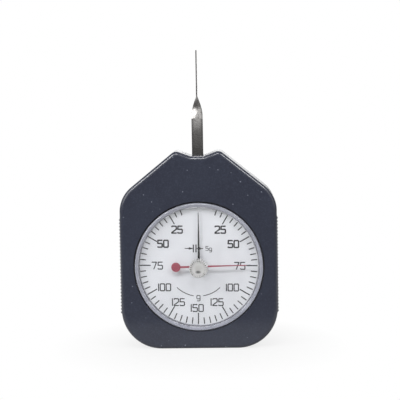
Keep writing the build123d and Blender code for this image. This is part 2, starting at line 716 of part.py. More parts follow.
def make_lever_staff():
    front = D_PLATE_BACK + BUSH_FLANGE_T + END_SHAKE
    return turned([
        (0, D_PLATE + HAND_GAP), (STAFF_JOURNAL_R, D_PLATE + HAND_GAP),
        (STAFF_JOURNAL_R, front), (STAFF_R, front), (STAFF_R, D_REAR - END_SHAKE),
        (STAFF_JOURNAL_R, D_REAR - END_SHAKE), (STAFF_JOURNAL_R, D_REAR_BACK),
        (0, D_REAR_BACK),
    ], 0, PIVOT_Z)


def make_feeler():
    """One strip: flat shank, a quarter twist, and a blade that stands edge-on to the dial."""
    middle = Y_FACE + D_STRIP + STRIP_T / 2
    shank = block(-STRIP_W / 2, STRIP_W / 2, PIVOT_Z + LAP_LOW, TWIST_Z, D_STRIP, D_ARM)
    for x, z in lap_screw_places():
        shank -= rod(x, z, SMALL_SCREW_R, D_STRIP, D_ARM)
    section = Pos(0, middle, TWIST_Z) * Rectangle(STRIP_W, STRIP_T)
    twist = Solid.extrude_linear_with_rotation(section.face(), (0, middle, TWIST_Z),
                                               (0, 0, TWIST_L), -90)
    half_root = STRIP_W / 2
    half_tip = BLADE_TIP_W / 2
    side_view = make_face(Polyline([
        (middle - half_root, BLADE_Z), (middle + half_root, BLADE_Z),
        (middle + half_tip, TIP_Z), (middle - half_tip, TIP_Z)], close=True))
    plane = Plane(origin=(-STRIP_T / 2, 0, 0), x_dir=(0, 1, 0), z_dir=(1, 0, 0))
    blade = extrude(plane * side_view, STRIP_T, dir=(1, 0, 0))
    return shank + twist + blade


def make_feeler_screws():
    length = D_ARM_BACK - D_STRIP
    return group(screw_front(x, z, D_STRIP, SMALL_SCREW_R, SMALL_HEAD_R, SMALL_HEAD_T, length)
                 for x, z in lap_screw_places())


def make_drive_pin():
    return rod(0, PIN_Z, DRIVE_PIN_R, D_ARM, D_LEAF_BACK - 0.1)


# ---- pinion arbor, hairspring and hands
def make_pinion_arbor():
    d_end = D_PINION + PINION_L
    arbor = turned([
        (0, D_BOSS + 0.1), (ARBOR_FRONT_R, D_BOSS + 0.1), (ARBOR_FRONT_R, D_COLLET),
        (ARBOR_BODY_R, D_COLLET), (ARBOR_BODY_R, D_PINION), (ARBOR_SLIM_R, D_PINION),
        (ARBOR_SLIM_R, D_REAR - END_SHAKE), (ARBOR_REAR_R, D_REAR - END_SHAKE),
        (ARBOR_REAR_R, D_REAR_BACK), (0, D_REAR_BACK),
    ])
    step = 2 * pi / PINION_TEETH
    edges, root_r, end, end_angle = tooth_run(PINION_PR, GEAR_SHIFT,
                                              [i * step for i in range(PINION_TEETH)])
    first_angle = 2 * pi - (end_angle - (PINION_TEETH - 1) * step)
    middle = (end_angle + first_angle) / 2
    first = (root_r * sin(first_angle), root_r * cos(first_angle))
    edges.append(ThreePointArc(end, (root_r * sin(middle), root_r * cos(middle)), first))
    teeth = slab(Pos(0, DIAL_Z) * make_face(edges), D_PINION, d_end)
    return arbor + teeth


def make_hairspring_collet():
    ring = rod(0, DIAL_Z, COLLET_R, D_COLLET, D_COLLET + COLLET_L)
    return ring - rod(0, DIAL_Z, ARBOR_BODY_R, D_COLLET, D_COLLET + COLLET_L)


def hair_radius(k):
    """Middle radius of half turn k of the hairspring, about its own centre."""
    return COLLET_R + HAIR_T / 2 + HAIR_PITCH * (k / 2 + 0.25)


def stud_x():
    side = -1 if HAIR_HALF_TURNS % 2 else 1
    return side * (COLLET_R + HAIR_T / 2 + HAIR_PITCH * HAIR_HALF_TURNS / 2)


def make_hairspring():
    """Flat spiral strip of half turns struck from two centres on the X axis."""
    d_front = D_COLLET + (COLLET_L - HAIR_W) / 2
    strip = None
    for k in range(HAIR_HALF_TURNS):
        r = hair_radius(k)
        side = 1 if k % 2 else -1
        ring = Circle(r + HAIR_T / 2) - Circle(r - HAIR_T / 2)
        half = Pos(0, side * r) * Rectangle(4 * r, 2 * r)
        turn = Pos(side * HAIR_PITCH / 4, 0) * (ring & half)
        strip = turn if strip is None else strip + turn
    return slab(Pos(0, DIAL_Z) * strip, d_front, d_front + HAIR_W)


def make_hairspring_stud():
    stud = rod(stud_x(), DIAL_Z, STUD_R, D_PLATE_BACK, D_COLLET + COLLET_L)
    stud += rod(stud_x(), DIAL_Z, STUD_TENON_R, D_PLATE, D_PLATE_BACK)
    return stud - make_hairspring()


def make_pointer():
    hand = make_face(Polyline([
        (-HAND_W / 2, 0), (-HAND_TIP_W / 2, HAND_L), (HAND_TIP_W / 2, HAND_L),
        (HAND_W / 2, 0)], close=True)) + Circle(HAND_HUB_R)
    hand = slab(Pos(0, DIAL_Z) * hand, D_HAND, D_HAND + HAND_T)
    hand -= rod(0, DIAL_Z, BOSS_NECK_R, D_HAND, D_HAND + HAND_T)
    return hand - rod(0, DIAL_Z + DRAG_PIN_AT, DRAG_PIN_R, D_HAND, D_HAND + HAND_T)


def make_pointer_boss():
    d_step = D_BOSS + BOSS_NECK_L
    return turned([
        (ARBOR_FRONT_R, D_BOSS), (BOSS_NECK_R, D_BOSS), (BOSS_NECK_R, d_step),
        (BOSS_R, d_step), (BOSS_R, D_BOSS + BOSS_L), (ARBOR_FRONT_R, D_BOSS + BOSS_L),
    ])


def make_drag_pin():
    front = D_PEAK_BUSH + PEAK_BUSH_L
    return rod(0, DIAL_Z + DRAG_PIN_AT, DRAG_PIN_R, front, D_HAND + HAND_T)


def make_peak_pointer():
    hand = make_face(Polyline([
        (-PEAK_HAND_W / 2, 0), (-HAND_TIP_W / 2, PEAK_HAND_L), (HAND_TIP_W / 2, PEAK_HAND_L),
        (PEAK_HAND_W / 2, 0), (PEAK_HAND_W / 2, -PEAK_TAIL), (-PEAK_HAND_W / 2, -PEAK_TAIL)],
        close=True))
    hand += [Circle(PEAK_HUB_R), Pos(0, -PEAK_TAIL) * Circle(PEAK_TAIL_R)]
    hand = Pos(0, DIAL_Z) * Rot(0, 0, -PEAK_ANGLE) * hand
    blade = slab(hand, D_PEAK_HAND, D_PEAK_HAND + HAND_T)
    return blade - rod(0, DIAL_Z, PEAK_NECK_R, D_PEAK_HAND, D_PEAK_HAND + HAND_T)


def make_peak_pointer_bush():
    return turned([
        (SPINDLE_R, D_PEAK_BUSH), (PEAK_BUSH_R, D_PEAK_BUSH), (PEAK_BUSH_R, D_PEAK_HAND),
        (PEAK_NECK_R, D_PEAK_HAND), (PEAK_NECK_R, D_PEAK_BUSH + PEAK_BUSH_L),
        (SPINDLE_R, D_PEAK_BUSH + PEAK_BUSH_L),
    ])


def make_friction_washer():
    ring = rod(0, DIAL_Z, WASHER_R, D_WASHER, D_PEAK_BUSH)
    return ring - rod(0, DIAL_Z, SPINDLE_R, D_WASHER, D_PEAK_BUSH)


def make_reset_knob():
    head = Circle(KNOB_R) - PolarLocations(KNOB_R, KNOB_FLUTES) * Circle(FLUTE_R)
    knob = slab(Pos(0, DIAL_Z) * head, D_KNOB - KNOB_L, D_KNOB)
    cone = turned([
        (0, D_KNOB - KNOB_L), (KNOB_R - KNOB_CHAMFER, D_KNOB - KNOB_L),
        (KNOB_R, D_KNOB - KNOB_L + KNOB_CHAMFER), (KNOB_R, D_KNOB), (0, D_KNOB)])
    knob &= cone
    return knob + rod(0, DIAL_Z, SPINDLE_R, D_KNOB, D_PEAK_BUSH + PEAK_BUSH_L - 0.1)


nodes = {
    "front_case": make_front_case(),
    "rear_cover": make_rear_cover(),
    "case_screws": make_case_screws(),
    "crystal": make_crystal(),
    "crystal_seal": make_crystal_seal(),
    "dial_plate": make_dial_plate(),
    "front_plate": make_front_plate(),
    "rear_plate": make_rear_plate(),
    "plate_pillars": make_plate_pillars(),
    "plate_screws": make_plate_screws(),
    "movement_screws": make_movement_screws(),
    "staff_bush_front": bush(PIVOT_Z, STAFF_JOURNAL_R, D_PLATE, D_PLATE_BACK),
    "staff_bush_rear": bush(PIVOT_Z, STAFF_JOURNAL_R, D_REAR, D_REAR_BACK),
    "arbor_bush_front": bush(DIAL_Z, ARBOR_FRONT_R, D_PLATE, D_PLATE_BACK),
    "arbor_bush_rear": bush(DIAL_Z, ARBOR_REAR_R, D_REAR, D_REAR_BACK),
    "spring_block": make_spring_block(),
    "block_screws": make_block_screws(),
    "leaf_spring_left": make_leaf_spring(-1),
    "leaf_spring_right": make_leaf_spring(1),
    "spring_clamps": make_spring_clamps(),
    "spring_screws": make_spring_screws(),
    "zero_stop": make_zero_stop(),
    "travel_stops": make_travel_stops(),
    "hairspring": make_hairspring(),
    "hairspring_stud": make_hairspring_stud(),
    "lever_arm": make_lever_arm(),
    "sector_gear": make_sector_gear(),
    "sector_rivets": make_sector_rivets(),
    "lever_staff": make_lever_staff(),
    "feeler": make_feeler(),
    "feeler_screws": make_feeler_screws(),
    "drive_pin": make_drive_pin(),
    "pinion_arbor": make_pinion_arbor(),
    "hairspring_collet": make_hairspring_collet(),
    "pointer": make_pointer(),
    "pointer_boss": make_pointer_boss(),
    "drag_pin": make_drag_pin(),
    "peak_pointer": make_peak_pointer(),
    "peak_pointer_bush": make_peak_pointer_bush(),
    "friction_washer": make_friction_washer(),
    "reset_knob": make_reset_knob(),
}

os.makedirs("parts", exist_ok=True)
for name, shape in nodes.items():
    export_step(shape, f"parts/{name}.step")
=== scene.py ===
import json
from math import atan2, cos, radians, sin

import bmesh
import bpy
from mathutils import Matrix, Vector


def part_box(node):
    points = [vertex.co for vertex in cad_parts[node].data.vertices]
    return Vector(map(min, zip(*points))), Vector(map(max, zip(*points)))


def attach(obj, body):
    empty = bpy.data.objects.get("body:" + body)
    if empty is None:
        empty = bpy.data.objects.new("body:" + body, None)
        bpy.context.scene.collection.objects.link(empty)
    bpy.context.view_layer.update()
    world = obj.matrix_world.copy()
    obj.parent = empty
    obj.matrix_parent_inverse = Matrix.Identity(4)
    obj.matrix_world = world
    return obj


# Looks of a dial force gauge: moulded case, acrylic crystal, printed dial, brass movement and
# steel feeler. Blender works in metres, so sizes are written in millimetres times MM.

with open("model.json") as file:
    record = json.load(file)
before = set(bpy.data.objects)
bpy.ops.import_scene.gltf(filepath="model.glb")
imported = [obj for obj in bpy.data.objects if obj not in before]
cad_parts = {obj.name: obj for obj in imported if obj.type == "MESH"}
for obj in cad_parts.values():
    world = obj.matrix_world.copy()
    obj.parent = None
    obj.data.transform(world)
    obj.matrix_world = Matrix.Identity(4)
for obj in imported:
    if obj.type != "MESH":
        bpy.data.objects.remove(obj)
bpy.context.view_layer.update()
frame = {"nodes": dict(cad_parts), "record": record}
nodes = frame["nodes"]

MM = 0.001

# ---- dial and knob
dial_low, dial_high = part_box("dial_plate")
DIAL_Z = (dial_low.z + dial_high.z) / 2
DIAL_FACE_Y = dial_low.y
KNOB_FLUTES = 26

# ---- printed scale
PRINT_T = 0.03 * MM                         # thickness of the ink
PRINT_SHIFT = Vector((-0.25, 0.18)) * MM    # the print sits a touch up and to the left,
PRINT_TURN = radians(0.85)                  # and is turned a little clockwise
TICK_OUTER_R = 23.6 * MM
MINOR_INNER_R = 21.0 * MM
MAJOR_INNER_R = 19.0 * MM
TICK_STEP = 6                               # degrees between marks
FIRST_TICK = 18                             # degrees from the top to the first on either side
MAJOR_EVERY = 30
MINOR_W = 0.42 * MM
MAJOR_W = 0.44 * MM
NUMERAL_H = 2.75 * MM
NUMERAL_W = 1.75 * MM
NUMERAL_GAP = 0.62 * MM
NUMERAL_STROKE = 0.42 * MM
BOLD_STROKE = 0.56 * MM                     # the 25 and 50 are printed heavier than the rest
STROKE_OVERRUN = 0.3                        # of a stroke's width, so that corners close

ZONE_Z = 6.8 * MM                           # zone mark above the middle
ZONE_BAR_HALF = 1.55 * MM
ZONE_STROKE = 0.46 * MM
ARROW_STROKE = 0.7 * ZONE_STROKE
ARROW_STEPS = 4                             # bars that make up an arrow's head
ARROW_TIP_HALF = 0.12                       # half height of a head at its tip, and what it
ARROW_FLARE = 0.38                          # gains to its tail, in millimetres
ARC_R = 12.3 * MM
ARC_START = 9                               # degrees from the bottom to each half of the arc
ARC_SPAN = 35
ARC_STEPS = 14
FINE_STROKE = 0.3 * MM

# ---- camera
CAMERA_TARGET = Vector((0.69, 0, 58.7)) * MM
CAMERA_DISTANCE = 442.8 * MM
CAMERA_AZIMUTH = radians(1.7)
CAMERA_ELEVATION = radians(4.92)
CAMERA_ROLL = radians(0.94)
CAMERA_LENS = 100.0
CAMERA_SENSOR = 36.0

# ---- studio, in metres
FLOOR_HALF = 1.5
FLOOR_AHEAD = 0.06                          # the floor ends this far in front of the middle
SHADOW_FROM = 0.02                          # the camera sees the shadow fade between these
SHADOW_TO = 0.06                            # distances from the middle of the footprint
ROOM_LIGHT = 0.38                           # even light on all that isn't glossy
# name, place, width, height, watts and the point that it is aimed at
SOFT_BOXES = (
    ("soft_box_over_front", (-0.04, -0.37, 0.48), 0.2, 0.13, 1.3, (0, 0, 0.06)),
    ("soft_box_upper_left", (-0.36, -0.33, 0.46), 0.2, 0.13, 1.3, (0, 0, 0.06)),
    ("soft_box_upper_right", (0.36, -0.33, 0.46), 0.2, 0.13, 1.2, (0, 0, 0.06)),
    ("soft_box_left", (-0.5, -0.35, 0.30), 0.45, 0.32, 1.4, (0, 0, 0.08)),
    ("soft_box_right", (0.6, -0.45, 0.25), 0.4, 0.4, 0.4, (0, 0, 0.05)),
    ("soft_box_behind", (0.12, 0.6, 0.2), 0.5, 0.2, 0.25, (0, 0, 0.06)),
)


# ---- colours and nodes
def rgb(text):
    """Linear colour of an sRGB hex value."""
    channels = [int(text[i:i + 2], 16) / 255 for i in (1, 3, 5)]
    linear = [c / 12.92 if c <= 0.04045 else ((c + 0.055) / 1.055) ** 2.4 for c in channels]
    return (*linear, 1.0)


def add(tree, kind, settings=None, **links):
    """Add one node. Settings go to its properties, its ramp's stops or its sockets, and links
    join its sockets to outputs; a link is named for its socket, or i and the socket's number."""
    node = tree.nodes.new(kind)
    for name, value in (settings or {}).items():
        if name == "stops":
            for stop, (position, colour) in zip(node.color_ramp.elements, value):
                stop.position = position
                stop.color = rgb(colour)
        elif isinstance(name, str) and hasattr(node, name):
            setattr(node, name, value)
        else:
            node.inputs[name].default_value = value
    for name, source in links.items():
        socket = node.inputs[int(name[1:]) if name[1:].isdigit() else name.replace("_", " ")]
        tree.links.new(source, socket)
    return node


NOISE_LOW, NOISE_HIGH = 0.3, 0.7            # most of a noise lies between these


def onto(low, high, start=NOISE_LOW, end=NOISE_HIGH):
    """Settings that take the values from start to end onto those from low to high."""
    return {"From Min": start, "From Max": end, "To Min": low, "To Max": high}


def tones(first, second):
    """Settings of a ramp that goes from the first colour to the second over a noise."""
    return {"stops": ((NOISE_LOW, first), (NOISE_HIGH, second))}


def new_material(name):
    """An empty material and its node tree."""
    material = bpy.data.materials.new(name)
    material.use_nodes = True
    tree = material.node_tree
    tree.nodes.clear()
    return material, tree


def finish_material(tree, shader):
    """Send a shader to the surface."""
    add(tree, "ShaderNodeOutputMaterial", Surface=shader)


def grain(tree, size, detail=3.0, stretch=(1, 1, 1)):
    """Noise on Object coordinates whose grains are about size metres across."""
    place = add(tree, "ShaderNodeTexCoord")
    mapping = add(tree, "ShaderNodeMapping", {"Scale": stretch},
                  Vector=place.outputs["Object"])
    noise = add(tree, "ShaderNodeTexNoise", {"Scale": 1 / size, "Detail": detail},
                Vector=mapping.outputs["Vector"])
    return noise.outputs["Fac"]


def from_dial_axis(tree):
    """Object coordinates from the axis of the dial, with the depth left out."""
    place = add(tree, "ShaderNodeTexCoord")
    centred = add(tree, "ShaderNodeMapping",
                  {"Location": (0, 0, -DIAL_Z), "Scale": (1, 0, 1)},
                  Vector=place.outputs["Object"])
    return centred.outputs["Vector"]


# ---- finishes
def moulded_abs():
    """ABS moulded in a spark-eroded tool: a matt blue-grey skin with a fine pale grain that
    breaks up highlights, and the odd fleck of dust in it."""
    material, tree = new_material("abs_spark_eroded_blue_grey")
    # the real texture is about 0.1 mm; it is drawn at 0.45 mm to show at all
    texture = grain(tree, 0.45 * MM, 4.0)
    clouds = grain(tree, 14.0 * MM, 2.0)
    # at most one fleck to every 2.9 mm, solid to a radius of 0.13 mm and gone at 0.27 mm
    fleck_pitch = 2.9 * MM
    place = add(tree, "ShaderNodeTexCoord")
    cells = add(tree, "ShaderNodeTexVoronoi", {"Scale": 1 / fleck_pitch},
                Vector=place.outputs["Object"])
    fleck_size = add(tree, "ShaderNodeMapRange", onto(1.0, 0.0, 0.045, 0.093),
                     Value=cells.outputs["Distance"])
    chance = add(tree, "ShaderNodeSeparateColor", Color=cells.outputs["Color"])
    chosen = add(tree, "ShaderNodeMapRange", onto(0.0, 1.0, 0.45, 0.48),
                 Value=chance.outputs["Red"])
    fleck = add(tree, "ShaderNodeMath", {"operation": "MULTIPLY"},
                i0=fleck_size.outputs["Result"], i1=chosen.outputs["Result"])
    peaks = add(tree, "ShaderNodeMapRange", onto(0.0, 0.7, 0.5, 0.65), Value=texture)
    skin = add(tree, "ShaderNodeValToRGB", tones("#252836", "#292d3b"), Fac=clouds)
    body = add(tree, "ShaderNodeMix", {"data_type": "RGBA", 7: rgb("#333847")},
               i0=peaks.outputs["Result"], i6=skin.outputs["Color"])
    coloured = add(tree, "ShaderNodeMix", {"data_type": "RGBA", 7: rgb("#7c808d")},
                   i0=fleck.outputs["Value"], i6=body.outputs[2])
    rough = add(tree, "ShaderNodeMapRange", onto(0.3, 0.38), Value=texture)
    bump = add(tree, "ShaderNodeBump", {"Strength": 0.08, "Distance": 0.01 * MM},
               Height=texture)
    shader = add(tree, "ShaderNodeBsdfPrincipled",
                 {"IOR": 1.52, "Coat Weight": 0.45, "Coat Roughness": 0.12},
                 Base_Color=coloured.outputs[2], Roughness=rough.outputs["Result"],
                 Normal=bump.outputs["Normal"])
    finish_material(tree, shader.outputs["BSDF"])
    return material


def clear_acrylic():
    """Cast acrylic, polished over the dial and left as turned at its edge, where it is frosted
    and greys; that grey-lilac tone is partly a painted highlight of the light that its wall
    catches.
    The light of the lamps goes through it to what lies behind."""
    material, tree = new_material("acrylic_clear_crystal")
    # polishing haze of a few millimetres, barely there
    mist = grain(tree, 6.0 * MM)
    radius = add(tree, "ShaderNodeVectorMath", {"operation": "LENGTH"},
                 i0=from_dial_axis(tree))
    turned = add(tree, "ShaderNodeMapRange", onto(0.0, 1.0, 23.6 * MM, 24.1 * MM),
                 Value=radius.outputs["Value"])
    polish = add(tree, "ShaderNodeMapRange", onto(0.0, 0.02), Value=mist)
    rough = add(tree, "ShaderNodeMath", {"operation": "MULTIPLY_ADD", 1: 0.22},
                i0=turned.outputs["Result"], i2=polish.outputs["Result"])
    clearness = add(tree, "ShaderNodeMath", {"operation": "MULTIPLY_ADD", 1: -0.32, 2: 1.0},
                    i0=turned.outputs["Result"])
    clear = add(tree, "ShaderNodeValToRGB", tones("#fbfbfc", "#ffffff"), Fac=mist)
    # the turned edge greys to a lilac tone: frosted acrylic, and a painted highlight of the
    # light that its wall catches
    coloured = add(tree, "ShaderNodeMix", {"data_type": "RGBA", 7: rgb("#c4c6d3")},
                   i0=turned.outputs["Result"], i6=clear.outputs["Color"])
    shader = add(tree, "ShaderNodeBsdfPrincipled", {"IOR": 1.49},
                 Base_Color=coloured.outputs[2],
                 Transmission_Weight=clearness.outputs["Value"],
                 Roughness=rough.outputs["Value"])
    through = add(tree, "ShaderNodeBsdfTransparent", {"Color": rgb("#fbfbfc")})
    ray = add(tree, "ShaderNodeLightPath")
    lit = add(tree, "ShaderNodeMath", {"operation": "MAXIMUM"},
              i0=ray.outputs["Is Shadow Ray"], i1=ray.outputs["Is Diffuse Ray"])
    mix = add(tree, "ShaderNodeMixShader", i0=lit.outputs["Value"],
              i1=shader.outputs["BSDF"], i2=through.outputs["BSDF"])
    finish_material(tree, mix.outputs["Shader"])
    return material


def frosted_acrylic():
    """Milky moulded acrylic of the knob: light sinks in, so it glows pale grey. Painted shade
    darkens the valleys of its flutes, and a small painted shade spot lies below its middle."""
    material, tree = new_material("acrylic_frosted_knob")
    mist = grain(tree, 5.0 * MM, 2.0)
    centred = from_dial_axis(tree)
    radius = add(tree, "ShaderNodeVectorMath", {"operation": "LENGTH"}, i0=centred)
    axes = add(tree, "ShaderNodeSeparateXYZ", Vector=centred)
    angle = add(tree, "ShaderNodeMath", {"operation": "ARCTAN2"},
                i0=axes.outputs["Z"], i1=axes.outputs["X"])
    turns = add(tree, "ShaderNodeMath", {"operation": "MULTIPLY", 1: KNOB_FLUTES},
                i0=angle.outputs["Value"])
    wave = add(tree, "ShaderNodeMath", {"operation": "COSINE"}, i0=turns.outputs["Value"])
    # painted shade lies in the valleys of the flutes, near the rim, in patches of about 0.8 mm
    valley = add(tree, "ShaderNodeMapRange", onto(0.0, 1.0, -0.3, 0.5),
                 Value=wave.outputs["Value"])
    rim = add(tree, "ShaderNodeMapRange", onto(0.0, 1.0, 2.1 * MM, 3.0 * MM),
              Value=radius.outputs["Value"])
    patch = add(tree, "ShaderNodeMapRange", onto(0.4, 1.0, 0.4, 0.6),
                Value=grain(tree, 0.8 * MM, 1.0))
    in_flutes = add(tree, "ShaderNodeMath", {"operation": "MULTIPLY"},
                    i0=valley.outputs["Result"], i1=rim.outputs["Result"])
    flute_painted_shade = add(tree, "ShaderNodeMath", {"operation": "MULTIPLY"},
                i0=in_flutes.outputs["Value"], i1=patch.outputs["Result"])
    # a painted shade spot lies 1.15 mm under the axis and is nearly twice as wide as it is tall
    shade_spot_drop, shade_spot_squash = 1.15 * MM, 1.8
    place = add(tree, "ShaderNodeTexCoord")
    shade_spot_place = add(tree, "ShaderNodeMapping",
               {"Location": (0.1 * MM, 0, (shade_spot_drop - DIAL_Z) * shade_spot_squash),
                "Scale": (1, 0, shade_spot_squash)},
               Vector=place.outputs["Object"])
    shade_spot_reach = add(tree, "ShaderNodeVectorMath", {"operation": "LENGTH"},
                     i0=shade_spot_place.outputs["Vector"])
    painted_shade_spot = add(tree, "ShaderNodeMapRange", onto(0.8, 0.0, 0.5 * MM, 1.4 * MM),
               Value=shade_spot_reach.outputs["Value"])
    knob_painted_shade = add(tree, "ShaderNodeMath", {"operation": "MAXIMUM"},
               i0=flute_painted_shade.outputs["Value"], i1=painted_shade_spot.outputs["Result"])
    milky = add(tree, "ShaderNodeValToRGB", tones("#dcdcdb", "#e4e4e3"), Fac=mist)
    # the painted shade of the flutes and of the spot takes this dark grey
    coloured = add(tree, "ShaderNodeMix", {"data_type": "RGBA", 7: rgb("#3a3a3a")},
                   i0=knob_painted_shade.outputs["Value"], i6=milky.outputs["Color"])
    rough = add(tree, "ShaderNodeMapRange", onto(0.15, 0.22), Value=mist)
    shader = add(tree, "ShaderNodeBsdfPrincipled", {"IOR": 1.49, "Transmission Weight": 0.5},
                 Base_Color=coloured.outputs[2], Roughness=rough.outputs["Result"])
    through = add(tree, "ShaderNodeBsdfTransparent", {"Color": rgb("#d8d8d8")})
    ray = add(tree, "ShaderNodeLightPath")
    mix = add(tree, "ShaderNodeMixShader", i0=ray.outputs["Is Shadow Ray"],
              i1=shader.outputs["BSDF"], i2=through.outputs["BSDF"])
    finish_material(tree, mix.outputs["Shader"])
    return material


def seal_rubber():
    """Nitrile rubber: nearly black and dull, with a faint bloom."""
    material, tree = new_material("nitrile_rubber_black")
    bloom = grain(tree, 0.8 * MM)
    body = add(tree, "ShaderNodeValToRGB", tones("#0c0c0e", "#17171a"), Fac=bloom)
    rough = add(tree, "ShaderNodeMapRange", onto(0.6, 0.8), Value=bloom)
    bump = add(tree, "ShaderNodeBump", {"Strength": 0.5, "Distance": 0.02 * MM},
               Height=bloom)
    shader = add(tree, "ShaderNodeBsdfPrincipled", {"IOR": 1.52},
                 Base_Color=body.outputs["Color"], Roughness=rough.outputs["Result"],
                 Normal=bump.outputs["Normal"])
    finish_material(tree, shader.outputs["BSDF"])
    return material


def even_coat(name, first, second, rough_low, rough_high, peel_size=0.5 * MM):
    """Enamel or ink in an even coat, clouded between two tones, with a slight orange peel
    about peel_size across."""
    material, tree = new_material(name)
    peel = grain(tree, peel_size, 2.0)
    body = add(tree, "ShaderNodeValToRGB", tones(first, second), Fac=grain(tree, 9.0 * MM, 2.0))
    rough = add(tree, "ShaderNodeMapRange", onto(rough_low, rough_high), Value=peel)
    bump = add(tree, "ShaderNodeBump", {"Strength": 0.3, "Distance": 0.006 * MM}, Height=peel)
    shader = add(tree, "ShaderNodeBsdfPrincipled", {"IOR": 1.5},
                 Base_Color=body.outputs["Color"], Roughness=rough.outputs["Result"],
                 Normal=bump.outputs["Normal"])
    finish_material(tree, shader.outputs["BSDF"])
    return material


def peak_hand_enamel():
    """Rose-red enamel with its last stretch dipped black, so that the reading end shows."""
    material, tree = new_material("enamel_rose_red_dark_tip")
    place = add(tree, "ShaderNodeTexCoord")
    axes = add(tree, "ShaderNodeSeparateXYZ", Vector=place.outputs["Object"])
    peel = grain(tree, 0.5 * MM, 2.0)
    dipped = add(tree, "ShaderNodeMapRange", onto(0.0, 1.0, 18.6 * MM, 19.0 * MM),
                 Value=axes.outputs["X"])
    red = add(tree, "ShaderNodeValToRGB", tones("#8a3445", "#963e4e"), Fac=peel)
    coloured = add(tree, "ShaderNodeMix", {"data_type": "RGBA", 7: rgb("#2a2226")},
                   i0=dipped.outputs["Result"], i6=red.outputs["Color"])
    rough = add(tree, "ShaderNodeMapRange", onto(0.3, 0.42), Value=peel)
    bump = add(tree, "ShaderNodeBump", {"Strength": 0.3, "Distance": 0.006 * MM}, Height=peel)
    shader = add(tree, "ShaderNodeBsdfPrincipled", {"IOR": 1.5},
                 Base_Color=coloured.outputs[2], Roughness=rough.outputs["Result"],
                 Normal=bump.outputs["Normal"])
    finish_material(tree, shader.outputs["BSDF"])
    return material


def bare_metal(name, dark, light, mark_w, stretch, rough_low, rough_high):
    """Bare metal with the marks of its tool: streaks mark_w wide, drawn out along stretch."""
    material, tree = new_material(name)
    streaks = grain(tree, mark_w, 4.0, stretch)
    body = add(tree, "ShaderNodeValToRGB", tones(dark, light), Fac=streaks)
    rough = add(tree, "ShaderNodeMapRange", onto(rough_low, rough_high),
                Value=grain(tree, 3.0 * MM, 2.0))
    bump = add(tree, "ShaderNodeBump", {"Strength": 0.5, "Distance": 0.004 * MM},
               Height=streaks)
    shader = add(tree, "ShaderNodeBsdfPrincipled", {"Metallic": 1.0},
                 Base_Color=body.outputs["Color"], Roughness=rough.outputs["Result"],
                 Normal=bump.outputs["Normal"])
    finish_material(tree, shader.outputs["BSDF"])
    return material


def feeler_steel():
    """Rolled spring steel, satin with bright speckles. Painted shade darkens its rolled edges
    and the shank towards the case, a painted dark reflection darkens the twist above its middle,
    and the ground edges of the blade are darker. The twist was bent hot: it has gone a little
    rough, so it flares softly."""
    material, tree = new_material("spring_steel_satin_feeler")
    speckle = grain(tree, 0.45 * MM, 4.0)
    clouds = grain(tree, 3.0 * MM, 2.0)
    place = add(tree, "ShaderNodeTexCoord")
    axes = add(tree, "ShaderNodeSeparateXYZ", Vector=place.outputs["Object"])
    across = add(tree, "ShaderNodeMath", {"operation": "ABSOLUTE"},
                 i0=axes.outputs["X"]).outputs["Value"]
    up = axes.outputs["Z"]
    # painted shade: the rolled edges of the shank are darkened
    edge = add(tree, "ShaderNodeMapRange", onto(0.0, 0.5, 1.2 * MM, 1.75 * MM), Value=across)
    # painted shade: the shank darkens towards the case
    painted_shade_near_case = add(tree, "ShaderNodeMapRange", onto(0.75, 0.0, 76 * MM, 88 * MM), Value=up)
    # painted dark reflection: the twist darkens above its middle
    twist_reflection_start = add(tree, "ShaderNodeMapRange", onto(0.0, 0.75, 94.5 * MM, 96 * MM), Value=up)
    twist_reflection_end = add(tree, "ShaderNodeMapRange", onto(1.0, 0.4, 98 * MM, 100.5 * MM), Value=up)
    twist_painted_reflection = add(tree, "ShaderNodeMath", {"operation": "MULTIPLY"},
               i0=twist_reflection_start.outputs["Result"], i1=twist_reflection_end.outputs["Result"])
    # the blade is 0.45 mm thick, so its edges lie nearer the middle than its faces
    thickness = add(tree, "ShaderNodeMapRange", onto(1.0, 0.0, 0.17 * MM, 0.21 * MM),
                    Value=across)
    blade = add(tree, "ShaderNodeMapRange", onto(0.0, 1.0, 99.8 * MM, 100.2 * MM), Value=up)
    ground = add(tree, "ShaderNodeMath", {"operation": "MULTIPLY"},
                 i0=thickness.outputs["Result"], i1=blade.outputs["Result"])
    # the painted shade, the painted dark reflection and the darker blade edges are joined
    top = add(tree, "ShaderNodeMath", {"operation": "MAXIMUM"},
              i0=twist_painted_reflection.outputs["Value"], i1=ground.outputs["Value"])
    ends = add(tree, "ShaderNodeMath", {"operation": "MAXIMUM"},
               i0=painted_shade_near_case.outputs["Result"], i1=top.outputs["Value"])
    dark = add(tree, "ShaderNodeMath", {"operation": "MAXIMUM"},
               i0=edge.outputs["Result"], i1=ends.outputs["Value"])
    satin = add(tree, "ShaderNodeMapRange", onto(0.14, 0.24), Value=clouds)
    bent = add(tree, "ShaderNodeMapRange", onto(0.0, 0.2, 85 * MM, 91 * MM), Value=up)
    rough = add(tree, "ShaderNodeMath", {"operation": "ADD"},
                i0=satin.outputs["Result"], i1=bent.outputs["Result"])
    steel = add(tree, "ShaderNodeValToRGB", tones("#b5b2af", "#f4f2f0"), Fac=speckle)
    # the painted shade and the darker blade edges take this dark steel
    coloured = add(tree, "ShaderNodeMix", {"data_type": "RGBA", 7: rgb("#565352")},
                   i0=dark.outputs["Value"], i6=steel.outputs["Color"])
    bump = add(tree, "ShaderNodeBump", {"Strength": 0.4, "Distance": 0.02 * MM},
               Height=speckle)
    shader = add(tree, "ShaderNodeBsdfPrincipled", {"Metallic": 1.0},
                 Base_Color=coloured.outputs[2], Roughness=rough.outputs["Value"],
                 Normal=bump.outputs["Normal"])
    finish_material(tree, shader.outputs["BSDF"])
    return material


